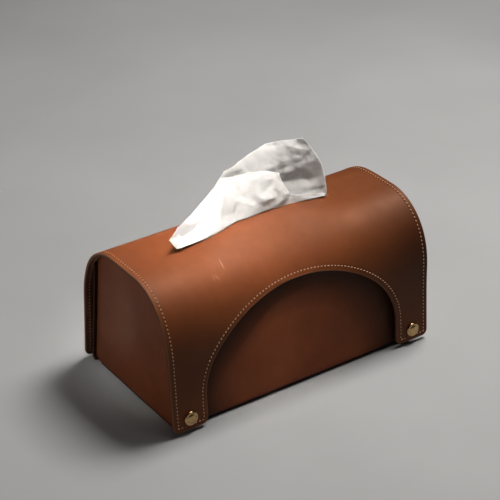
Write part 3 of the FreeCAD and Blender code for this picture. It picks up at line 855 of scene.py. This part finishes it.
class COVER_OT_snaps(bpy.types.Operator):
    """Turn the four brass snap caps and finish the sockets, studs and posts"""

    bl_idname = "cover.snaps"
    bl_label = "Snaps"

    def execute(self, context):
        wrap = Wrap(context.scene.wrap_sizes)
        profile = CAP_PROFILE + ((SHANK, 0.0), (SHANK, -SHANK_REACH), (0.0, -SHANK_REACH))
        for name, side in SIDES.items():
            for end, word in ENDS.items():
                bm = snap_cap(profile)
                bmesh.ops.transform(bm, matrix=snap_place(wrap, side, end), verts=bm.verts[:])
                mark_sharp(bm)
                cap = new_piece(f"{name}_{word}_snap_cap", bm, "brass")
                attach(cap, f"{name}_side")
                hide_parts(f"snap_cap_{name}_{word}")
                for inner in ("snap_socket", "snap_stud", "snap_post"):
                    dress(f"{inner}_{name}_{word}", "brass")
        return {"FINISHED"}


# Tray


TRAY_WAVE = 0.4 * MM  # height of the unevenness of the walls and end panels
BASE_NOTCH = 1 * MM  # from a fold to where the base's ends are cut back behind the end panels
TAB_PLAY = 0.5 * MM  # room beside the end panels' lower tabs
TOUCH = 0.1 * MM  # heights closer than this count as level
END_BAND = 2 * MM  # what lies closer than this to an end of the base belongs to that end
WALL_CUTS, FOLD_CUTS = 14, 8
CELL = 8 * MM  # between cuts along the folded strip
# Where an end panel is cut into cells, across and up, in millimetres.
PANEL_CUTS_ACROSS, PANEL_CUTS_UP = range(-54, 55, 6), range(8, 118, 6)


def dress(node, material):
    """Give a CAD piece its material."""
    piece = frame["nodes"][node]
    piece.data.materials.clear()
    piece.data.materials.append(finish(material))


class Tray:
    """The tray's folded strip. In its flat pattern, X runs along the cover, Y from the middle of the base to
    the front or back edge, and Z is the height above the outside."""

    def __init__(self, sizes):
        low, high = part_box("tray_shell")
        self.radius, self.lean = sizes.fold_radius, sizes.wall_lean
        self.floor, self.half = low.z, high.x
        self.base = -low.y - self.radius
        self.notch = self.base - BASE_NOTCH
        self.fold_end = self.base + self.radius * (UPRIGHT + self.lean)
        self.fold_top = self.floor + self.radius * (1 + math.sin(self.lean))
        self.edge = self.reach(high.z)

    def reach(self, z):
        """Distance from the middle of the base, round the fold, to a height on the wall."""
        return self.fold_end + (z - self.fold_top) / math.cos(self.lean)

    def folded(self, point):
        """Where a point of the flat pattern comes to lie."""
        t, side, lift = abs(point.y), math.copysign(1, point.y), point.z
        if t < self.base:
            return Vector((point.x, point.y, self.floor - lift))
        facing = min((t - self.base) / self.radius - UPRIGHT, self.lean)
        up = max(t - self.fold_end, 0)
        y = self.base + (self.radius + lift) * math.cos(facing) - up * math.sin(self.lean)
        z = self.floor + self.radius + (self.radius + lift) * math.sin(facing) + up * math.cos(self.lean)
        return Vector((point.x, side * y, z))

    def levels(self, edge):
        """Distances where the pattern is cut across: close together in the folds."""
        folds = [self.base + (self.fold_end - self.base) * i / FOLD_CUTS for i in range(FOLD_CUTS + 1)]
        walls = [self.fold_end + (edge - self.fold_end) * i / WALL_CUTS for i in range(1, WALL_CUTS)]
        found = [self.notch] + folds + walls
        return found + [-t for t in found]


def folded_strip(tray, left, right, edge, outside, thickness, rounding, bow):
    """Strip folded up round the base to both walls, between two places along the cover."""
    bm = bmesh.new()
    matrix = Matrix.Translation(((left + right) / 2, 0, outside))
    matrix = matrix @ Matrix.Diagonal((right - left, 2 * edge, 1, 1))
    bmesh.ops.create_grid(bm, x_segments=1, y_segments=1, size=0.5, matrix=matrix)
    cut_grid(bm, [(0, t, 0) for t in tray.levels(edge)], (0, 1, 0))
    count = max(2, round((right - left) / CELL))
    cut_grid(bm, [(left + (right - left) * i / count, 0, 0) for i in range(1, count)], (1, 0, 0))
    thicken(bm, thickness, rounding)
    for vert in bm.verts:
        lift = wave(vert.co.x, vert.co.y, bow) if abs(vert.co.y) > tray.fold_end else 0
        vert.co = tray.folded(vert.co + Vector((0, 0, lift)))
    bmesh.ops.recalc_face_normals(bm, faces=bm.faces[:])
    return bm


def trim_base(bm, tray, wall, trim):
    """Cut the ends of the tray's base back, so that the end panels' tabs cover them."""
    for vert in bm.verts:
        low = vert.co.z < tray.floor + wall + TOUCH
        on_base = low and abs(vert.co.y) < tray.base - BASE_NOTCH / 2
        if on_base and abs(vert.co.x) > tray.half - END_BAND:
            vert.co.x -= math.copysign(trim, vert.co.x)


def panel_outline(wrap, tray, inset, gap):
    """Outline of an end panel in Y and Z: under the wrap, inside the walls, and over the base's end."""
    top = []
    steps = 60
    for i in range(steps + 1):
        place = wrap.down(wrap.side_start * i / steps, -gap)
        wall = tray.folded(Vector((0, -tray.reach(place.z), -inset)))
        if place.y < wall.y:
            break
        top.append(Vector((place.y, place.z)))
    low = []
    folds = sorted((t for t in tray.levels(tray.edge) if tray.base <= t <= tray.fold_end), reverse=True)
    for t in (tray.edge, *folds):
        place = tray.folded(Vector((0, -t, -inset)))
        if place.z < top[-1].y - 1 * MM:
            low.append(Vector((place.y, place.z)))
    tab = tray.notch - TAB_PLAY
    low += [Vector((-tab, low[-1].y)), Vector((-tab, tray.floor + TOUCH))]
    side = top[1:] + low
    return top[:1] + side + [Vector((-p.x, p.y)) for p in reversed(side)]


def end_panel(tray, sizes, outline, end, face, tip, inset):
    """An end panel: its upright face, a little uneven, and its fold along the base and the walls."""
    bm = bmesh.new()
    bm.faces.new([bm.verts.new((p.x, p.y, 0)) for p in outline])
    cut_grid(bm, [(y * MM, 0, 0) for y in PANEL_CUTS_ACROSS], (1, 0, 0))
    cut_grid(bm, [(0, z * MM, 0) for z in PANEL_CUTS_UP], (0, 1, 0))
    thicken(bm, sizes.panel, sizes.edge_round)
    for vert in bm.verts:
        lift = wave(vert.co.x + end, vert.co.y, TRAY_WAVE)
        vert.co = Vector((face + end * (vert.co.z + lift), vert.co.x, vert.co.y))
    bmesh.ops.recalc_face_normals(bm, faces=bm.faces[:])
    left, right = sorted((face - end * sizes.panel, tip))
    edge = tray.reach(sizes.flange_top)
    flange = folded_strip(tray, left, right, edge, -inset, sizes.panel, sizes.edge_round, 0.0)
    mesh = bpy.data.meshes.new("flange")
    flange.to_mesh(mesh)
    flange.free()
    bm.from_mesh(mesh)
    bpy.data.meshes.remove(mesh)
    return bm


class COVER_OT_tray(bpy.types.Operator):
    """Fold the tray and its end panels, and finish the sheets on its base"""

    bl_idname = "cover.tray"
    bl_label = "Tray"

    def execute(self, context):
        sizes, cover = context.scene.tray_sizes, context.scene.wrap_sizes
        tray, wrap = Tray(sizes), Wrap(cover)
        bm = folded_strip(
            tray, -tray.half, tray.half, tray.edge, 0.0, sizes.wall, sizes.edge_round, TRAY_WAVE
        )
        panel_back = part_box("end_panel_right")[1].x - sizes.panel
        trim_base(bm, tray, sizes.wall, tray.half - panel_back + cover.glue_line)
        shell = new_piece("tray_leather", bm, "tray")
        even_normals(shell)
        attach(shell, "box")
        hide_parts("tray_shell")
        inset = sizes.wall + cover.glue_line
        gap = cover.leather + cover.glue_line + cover.lining + sizes.rest_gap
        outline = panel_outline(wrap, tray, inset, gap)
        for end, word in ENDS.items():
            low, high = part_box(f"end_panel_{word}")
            face, tip = (low.x, high.x) if end < 0 else (high.x, low.x)
            bm = end_panel(tray, sizes, outline, end, face, tip, inset)
            panel = new_piece(f"{word}_end_leather", bm, "panel")
            even_normals(panel)
            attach(panel, "box")
            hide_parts(f"end_panel_{word}")
        dress("base_felt", "felt")
        dress("base_board", "board")
        dress("base_lining", "suede")
        return {"FINISHED"}


# Tissues


# The pulled tissue, in two layers of columns from left to right. Each column gives, in millimetres, its place
# along the slit, the point where it turns up from the slit's lip, its upper end, how far it bulges between
# the two, and how far it bows to the right.
BACK_LAYER = (
    (-75, -76, 2, 126, -72, 3, 137, 0, 0),
    (-66, -63, 3, 128, -56, 9, 140, 1, 0),
    (-55, -52, 4, 130, -44, 12, 146, 1, 0),
    (-44, -42, 5, 133, -33, 12, 155, 1, 0),
    (-32, -30, 5, 135, -23, 12, 167, 0, 0),
    (-20, -19, 5, 136, -13, 13, 168, 0, 0),
    (-6, -6, 5, 136, 3, 15, 173, 2, 0),
    (10, 10, 4, 135, 20, 16, 177, 4, 0),
    (28, 28, 1, 132, 33, 15, 176, 4, 0),
    (50, 48, -1, 128, 43, 13, 175, 3, 4),
    (68, 69, 0, 123, 52, 10, 175, 0, 7),
)
FRONT_LAYER = (
    (-75, -84, -3, 132, -72, 3, 137, 0, 0),
    (-72, -79, -6, 124, -63, 5, 128, 0, 0),
    (-66, -67, -6, 124, -53, 8, 131, 1, 0),
    (-53, -53, -7, 125, -41, 10, 143, 1, 0),
    (-39, -39, -7, 127, -27, 10, 163, 2, 0),
    (-26, -23, -5, 130, -16, 9, 161, 2, 0),
    (-14, -11, -6, 130, -1, 8, 161, 2, 0),
    (-3, 1, -6, 131, 13, 6, 159, 3, 0),
    (9, 10, -6, 131, 24, 3, 155, 2, 0),
    (20, 18, -6, 130, 26, -1, 145, 2, 0),
    (30, 27, -5, 129, 31, -3, 136, 0, 0),
    (46, 44, -5, 128, 46, -3, 132, 0, 0),
    (67, 65, -4, 125, 67, -2, 126, 0, 0),
)
# Creases in each layer: where each starts and ends, along the cover and in height, how far it stands out (to
# the back in the back layer, to the front in the front layer), and how far it spreads, in millimetres.
BACK_CREASES = (
    (11, 180, 34, 172, 0.9, 4.0),
    (32, 173, 56, 164, -1.0, 4.5),
    (27, 157, 50, 157, 1.2, 5.0),
    (-21, 158, -7, 160, 0.8, 4.0),
    (47, 132, 66, 129, 0.9, 3.0),
    (22, 146, 54, 141, 4.5, 14.0),
)
FRONT_CREASES = (
    (-13, 147, 0, 139, -1.0, 4.0),
    (0, 139, 13, 140, 1.0, 4.0),
    (4, 145, 14, 150, -0.9, 3.5),
    (-54, 139, -38, 156, 0.6, 4.0),
    (-24, 133, -20, 141, -1.2, 3.5),
)
LAYER_COLUMNS, FOLD_COLUMNS, TAIL_ROWS, LIP_ROWS, TISSUE_ROWS = 120, 4, 10, 16, 72
TAIL_SHARE = 0.7  # width of the tissue's lower end, as a share of its width in the slit
SQUEEZE = 4  # how many times closer to the middle a layer lies in the slit than on the slit's lip
BELOW_LIP = 1  # millimetres from the lip's top down to where the tissue leaves the slit
BULGE_CURVE, BULGE_OUT, BULGE_UP = 1.7, 0.75, 0.66
# Crumpling, in millimetres: pleats, flat facets and fine wrinkles. The facets' depth is a share of their
# size, and their level is the noise value that stays in place.
PLEAT_WIDTH, PLEAT_LENGTH, PLEAT_DEPTH, PLEAT_HEIGHT = 8, 60, 30, 0.5
FACET_SIZES, FACET_DEPTH, FACET_LEVEL = (16, 9, 5), 0.09, 0.2
WRINKLE, WRINKLE_HEIGHT = 3, 0.15
CALM, CALM_FADE = 0.3, 2  # share of the crumpling that is left in the slit, and how fast it grows above it
PAPER = 0.35 * MM  # thickness of the two plies
PILE_SHEETS, PILE_SHIFT, PILE_MARGIN, PILE_CORNER = 20, 0.7 * MM, 2 * MM, 5 * MM
PILE_FILL, PILE_ROUND = 0.96, 0.3  # thickness and rounding of a folded tissue, as shares of its step
PILE_SEED = 1  # not 0, which would take the seed from the clock and pile the tissues anew each run


def tissue_column(layer, across):
    """The numbers of a column part of the way from the left to the right of a layer."""
    at = across * (len(layer) - 1)
    i = min(int(at), len(layer) - 2)
    return [a + (b - a) * (at - i) for a, b in zip(layer[i], layer[i + 1])]


def tissue_place(column, row, wrap, stack_top):
    """Point of the tissue, in millimetres, on a column and a row from the stack up to the free edge."""
    lip_z = (wrap.top + bpy.context.scene.wrap_sizes.front_lip * wrap.lip_push(column[0] * MM)) / MM
    low, high = Vector(column[1:4]), Vector(column[4:7])
    slit = Vector((column[0], low.y / SQUEEZE, lip_z - BELOW_LIP))
    if row < TAIL_ROWS:
        return Vector((column[0] * TAIL_SHARE, 0, stack_top)).lerp(slit, row / TAIL_ROWS)
    if row < LIP_ROWS:
        return slit.lerp(low, (row - TAIL_ROWS) / (LIP_ROWS - TAIL_ROWS))
    up = (row - LIP_ROWS) / (TISSUE_ROWS - LIP_ROWS)
    bulge, bow = (n * (1 - abs(2 * up - 1) ** BULGE_CURVE) for n in column[7:])
    return low.lerp(high, up) + Vector((bow, -BULGE_OUT * bulge, BULGE_UP * bulge))


def crease(place, x1, z1, x2, z2, height, width):
    """How far one crease lifts a point, in millimetres."""
    start, along = Vector((x1, z1)), Vector((x2 - x1, z2 - z1))
    share = (Vector((place.x, place.z)) - start).dot(along) / along.length_squared
    nearest = start + along * min(max(share, 0), 1)
    beside = (Vector((place.x, place.z)) - nearest).length / width
    return height * max(1 - beside, 0)


def crumple(place, up, creases):
    """How far crumpled tissue stands off its main folds, in millimetres: pleats that fan up from the slit,
    flat facets, fine wrinkles and creases."""
    pleat = Vector((place.x / PLEAT_WIDTH, place.z / PLEAT_LENGTH, place.y / PLEAT_DEPTH))
    pleat = noise.noise(pleat)
    facets = 0
    for size in FACET_SIZES:
        ridge = abs(noise.noise(place / size + Vector((size, 7, 0))))
        facets += size * FACET_DEPTH * (FACET_LEVEL - ridge)
    fine = noise.noise(place / WRINKLE)
    drawn = sum(crease(place, *numbers) for numbers in creases)
    height = PLEAT_HEIGHT * pleat + facets + WRINKLE_HEIGHT * fine + drawn
    return height * min(1, CALM + CALM_FADE * max(up, 0))


def tissue_sheet(wrap, stack_top):
    """The pulled tissue: the back layer from right to left, the fold at the tip, and the front layer."""
    columns = [tissue_column(BACK_LAYER, 1 - i / LAYER_COLUMNS) for i in range(LAYER_COLUMNS + 1)]
    ends = columns[-1], tissue_column(FRONT_LAYER, 0)
    for i in range(1, FOLD_COLUMNS):
        columns.append([a + (b - a) * i / FOLD_COLUMNS for a, b in zip(*ends)])
    columns += [tissue_column(FRONT_LAYER, i / LAYER_COLUMNS) for i in range(LAYER_COLUMNS + 1)]
    across = len(columns) - 1
    bm = bmesh.new()
    bmesh.ops.create_grid(bm, x_segments=across, y_segments=TISSUE_ROWS, size=0.5)
    cells = {}
    for vert in bm.verts:
        column, row = round((vert.co.x + 0.5) * across), round((vert.co.y + 0.5) * TISSUE_ROWS)
        cells[vert] = column, row
        vert.co = tissue_place(columns[column], row, wrap, stack_top)
    bm.normal_update()
    for vert, (column, row) in cells.items():
        up = (row - TAIL_ROWS) / (TISSUE_ROWS - TAIL_ROWS)
        creases = FRONT_CREASES if column > LAYER_COLUMNS else BACK_CREASES
        vert.co += vert.normal * crumple(vert.co, up, creases)
    bmesh.ops.scale(bm, vec=(MM, MM, MM), verts=bm.verts[:])
    return bm


def tissue_pile(low, high, sheets):
    """Pile of folded tissues, each a little out of line with the next."""
    noise.seed_set(PILE_SEED)
    bm = bmesh.new()
    step = (high.z - low.z) / sheets
    for i in range(sheets):
        shift = noise.noise_vector(Vector((i * 3.7, 0.2, 0.4))) * PILE_SHIFT
        middle = Vector((shift.x, shift.y, low.z + step * (i + 0.5)))
        size = (high.x - low.x - PILE_MARGIN, high.y - low.y - PILE_MARGIN, step * PILE_FILL, 1)
        bmesh.ops.create_cube(bm, size=1, matrix=Matrix.Translation(middle) @ Matrix.Diagonal(size))
    upright = [e for e in bm.edges if abs(e.verts[0].co.z - e.verts[1].co.z) > step / 2]
    bmesh.ops.bevel(
        bm, geom=upright, offset=PILE_CORNER, segments=5, profile=0.5, affect="EDGES", material=-1
    )
    rims = [e for e in bm.edges if e.is_manifold and e.calc_face_angle() > CUT_EDGE]
    bmesh.ops.bevel(
        bm, geom=rims, offset=step * PILE_ROUND, segments=2, profile=0.5, affect="EDGES", material=-1
    )
    return bm


class COVER_OT_tissues(bpy.types.Operator):
    """Fold the pulled tissue and pile the stack"""

    bl_idname = "cover.tissues"
    bl_label = "Tissues"

    def execute(self, context):
        low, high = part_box("tissue_stack")
        pile = new_piece("tissue_pile", tissue_pile(low, high, PILE_SHEETS), "tissue")
        even_normals(pile)
        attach(pile, "box")
        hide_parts("tissue_stack")
        tail_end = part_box("pulled_tissue")[0].z / MM
        wrap = Wrap(context.scene.wrap_sizes)
        sheet = new_piece("tissue_sheet", tissue_sheet(wrap, tail_end), "tissue")
        paper = sheet.modifiers.new("paper", "SOLIDIFY")
        paper.thickness = PAPER
        paper.offset = 0
        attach(sheet, "tissue")
        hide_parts("pulled_tissue")
        return {"FINISHED"}


# Stage


CAMERA_PLACE = Vector((-701.9, -1016.4, 818.5)) * MM
CAMERA_AZIMUTH, CAMERA_ELEVATION, CAMERA_ROLL = (math.radians(a) for a in (-34.3758, 30.4039, -0.3655))
CAMERA_LENS, CAMERA_SENSOR = 128.3, 36.0  # millimetres


def studio_camera():
    """Camera at the photograph's place and angle."""
    data = bpy.data.cameras.new("camera")
    data.lens, data.sensor_width = CAMERA_LENS, CAMERA_SENSOR
    data.clip_end = 50
    camera = bpy.data.objects.new("camera", data)
    turn = (
        Matrix.Rotation(CAMERA_AZIMUTH, 4, "Z")
        @ Matrix.Rotation(UPRIGHT - CAMERA_ELEVATION, 4, "X")
        @ Matrix.Rotation(CAMERA_ROLL, 4, "Z")
    )
    camera.matrix_world = Matrix.Translation(CAMERA_PLACE) @ turn
    bpy.context.scene.collection.objects.link(camera)
    bpy.context.scene.camera = camera


def soft_light(name, place, aim, width, depth, power, tint, spread=180):
    """Rectangular soft box that points at a place, with its light spread over this many degrees."""
    data = bpy.data.lights.new(name, "AREA")
    data.shape = "RECTANGLE"
    data.size, data.size_y = width, depth
    data.energy = power
    data.spread = math.radians(spread)
    data.color = srgb(tint)[:3]
    light = bpy.data.objects.new(name, data)
    light.location = place
    light.rotation_euler = (Vector(aim) - Vector(place)).to_track_quat("-Z", "Y").to_euler()
    bpy.context.scene.collection.objects.link(light)


class COVER_OT_stage(bpy.types.Operator):
    """Set the floor, the soft lights and the camera"""

    bl_idname = "cover.stage"
    bl_label = "Stage"

    def execute(self, context):
        bm = bmesh.new()
        bmesh.ops.create_grid(bm, x_segments=1, y_segments=1, size=6)
        floor = new_piece("floor", bm, "floor")
        studio_camera()
        # Places and sides in metres, power in watts.
        middle = (0, 0, 0.08)
        soft_light("key_light", (0.48, 0.05, 1.2), middle, 0.5, 0.5, 20.0, "#fffaf4")
        soft_light("front_light", (0.1, -0.35, 1.7), middle, 0.4, 0.3, 1.9, "#fffaf4")
        soft_light("top_light", (-0.2, -0.2, 1.3), (-0.05, 0.015, 0.14), 0.1, 0.1, 0.085, "#fffaf4", 8)
        soft_light("left_light", (-1.3, 0.25, 0.4), middle, 0.6, 0.6, 1.5, "#fff6ee")
        world = bpy.data.worlds.new("studio")
        world.use_nodes = True
        background = world.node_tree.nodes["Background"]
        background.inputs["Color"].default_value = srgb("#c9ccd0")
        background.inputs["Strength"].default_value = 0.03
        context.scene.world = world
        context.scene.view_settings.view_transform = "Standard"
        return {"FINISHED"}


class COVER_PT_panel(bpy.types.Panel):
    """Buttons that build the cover, piece by piece"""

    bl_idname = "COVER_PT_panel"
    bl_label = "Tissue box cover"
    bl_space_type = "VIEW_3D"
    bl_region_type = "UI"
    bl_category = "Tissue cover"

    def draw(self, context):
        for operator in OPERATORS:
            self.layout.operator(operator.bl_idname)
        for group, kind in GROUPS.items():
            box = self.layout.box()
            for prop in kind.__annotations__:
                box.prop(getattr(context.scene, group), prop)


OPERATORS = (
    COVER_OT_wrap,
    COVER_OT_stitching,
    COVER_OT_snaps,
    COVER_OT_tray,
    COVER_OT_tissues,
    COVER_OT_stage,
)
GROUPS = {
    "wrap_sizes": WrapSizes,
    "stitch_sizes": StitchSizes,
    "tray_sizes": TraySizes,
    "cover_colours": CoverColours,
}


def register():
    """Make the sizes, the operators and the panel known to Blender."""
    for group, kind in GROUPS.items():
        bpy.utils.register_class(kind)
        setattr(bpy.types.Scene, group, PointerProperty(type=kind))
    for operator in OPERATORS:
        bpy.utils.register_class(operator)
    bpy.utils.register_class(COVER_PT_panel)


def unregister():
    """Take the panel, the operators and the sizes out of Blender again."""
    bpy.utils.unregister_class(COVER_PT_panel)
    for operator in reversed(OPERATORS):
        bpy.utils.unregister_class(operator)
    for group, kind in GROUPS.items():
        delattr(bpy.types.Scene, group)
        bpy.utils.unregister_class(kind)


def main():
    """Build every piece and the stage."""
    register()
    bpy.ops.cover.wrap()
    bpy.ops.cover.stitching()
    bpy.ops.cover.snaps()
    bpy.ops.cover.tray()
    bpy.ops.cover.tissues()
    bpy.ops.cover.stage()


if __name__ == "__main__":
    main()
